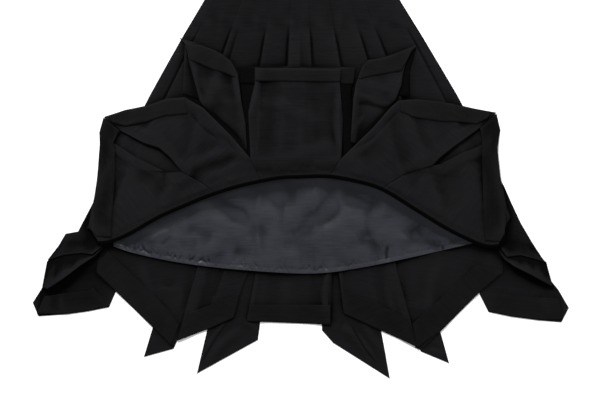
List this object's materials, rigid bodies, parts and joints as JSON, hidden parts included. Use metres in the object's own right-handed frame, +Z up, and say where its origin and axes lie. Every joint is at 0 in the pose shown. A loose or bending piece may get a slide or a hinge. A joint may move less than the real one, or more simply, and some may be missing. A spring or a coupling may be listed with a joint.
{
  "type": "pleated skirt",
  "caption": "Black pleated midi skirt laid flat on its back, its front hem turned up over itself so that the satin lining and the pointed inside of the back hem show.",
  "frame": {"origin": "on the surface the skirt lies on, under the middle of its length and width", "axes": "+Z up from the surface, +Y along the skirt towards the waistband, +X to the right seen from above with the waistband at the top"},
  "size_m": [1.0748, 0.8579, 0.0266],
  "materials": {
    "cloth": "matte slub weave",
    "facing": "matte slub weave",
    "lining": "satin",
    "waistband": "matte slub weave",
    "button": "polished"
  },
  "bodies": {
    "root": {"back_pleat_1": "cloth", "back_pleat_2": "cloth", "back_pleat_3": "cloth", "back_pleat_4": "cloth", "side_pleat_lower_left": "cloth", "side_pleat_lower_right": "cloth", "waistband_back": "waistband", "back_outer_left": "cloth", "back_outer_right": "cloth", "back_inner_left": "cloth", "back_centre": "cloth", "back_inner_right": "cloth", "facing_back_outer_left": "facing", "facing_back_inner_left": "facing", "facing_back_centre": "facing", "facing_back_inner_right": "facing", "facing_back_outer_right": "facing", "facing_side_left": "facing", "facing_side_right": "facing", "lining_back": "lining", "lining_front": "lining", "waistband_front": "waistband", "side_pleat_fold_left": "cloth", "side_pleat_fold_right": "cloth", "side_pleat_upper_left": "cloth", "side_pleat_upper_right": "cloth", "front": "cloth", "hem_underlay": "cloth", "hem_return_left": "cloth", "hem_return_right": "cloth", "facing_underlay": "facing", "hem_inner_left": "cloth", "hem_inner_right": "cloth", "facing_inner_left": "facing", "facing_inner_right": "facing", "hem_gusset_left": "cloth", "hem_gusset_right": "cloth", "hem_centre": "cloth", "hem_middle_left": "cloth", "hem_outer_left": "cloth", "hem_middle_right": "cloth", "hem_outer_right": "cloth", "facing_centre": "facing", "facing_middle_left": "facing", "facing_outer_left": "facing", "facing_middle_right": "facing", "facing_outer_right": "facing", "waist_tab": "waistband", "waist_button": "button"}
  },
  "joints": []
}
